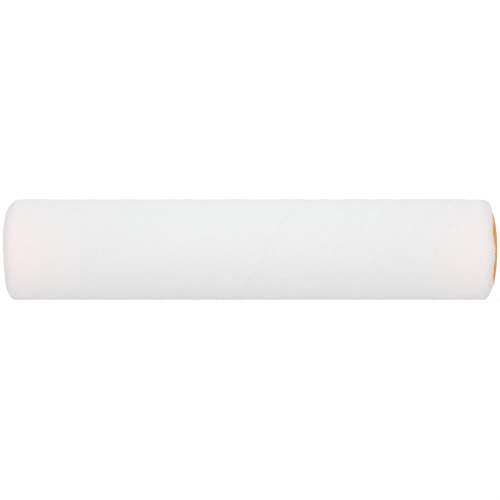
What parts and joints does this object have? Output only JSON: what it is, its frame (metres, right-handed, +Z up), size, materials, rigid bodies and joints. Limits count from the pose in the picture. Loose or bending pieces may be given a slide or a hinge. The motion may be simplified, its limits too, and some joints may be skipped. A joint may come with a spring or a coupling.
{
  "type": "paint roller cover",
  "caption": "Short-nap paint roller refill sleeve: white pile fabric wound helically over an open-ended golden plastic core that slides onto a roller frame's cage.",
  "frame": {"origin": "middle of the cover's footprint, on the surface that it lies on", "axes": "+X along the cover's axis, towards the end where the core stands proud of the fabric; +Z up, away from the flat that the cover lies on; +Y across, towards the back"},
  "size_m": [0.2422, 0.0508, 0.0503],
  "materials": {
    "core_plastic": "satin golden-orange polypropylene",
    "ply_bond": "melted polypropylene film",
    "fabric_bond": "melted polypropylene film, partly soaked into the cloth",
    "ground_cloth": "close-woven white ground cloth",
    "nap": "dense short sheared white pile"
  },
  "bodies": {
    "root": {"core_inner_ply": "core_plastic", "ply_bond_film": "ply_bond", "core_outer_ply": "core_plastic", "fabric_bond_film": "fabric_bond", "nap_backing": "ground_cloth", "nap_pile": "nap"}
  },
  "joints": []
}
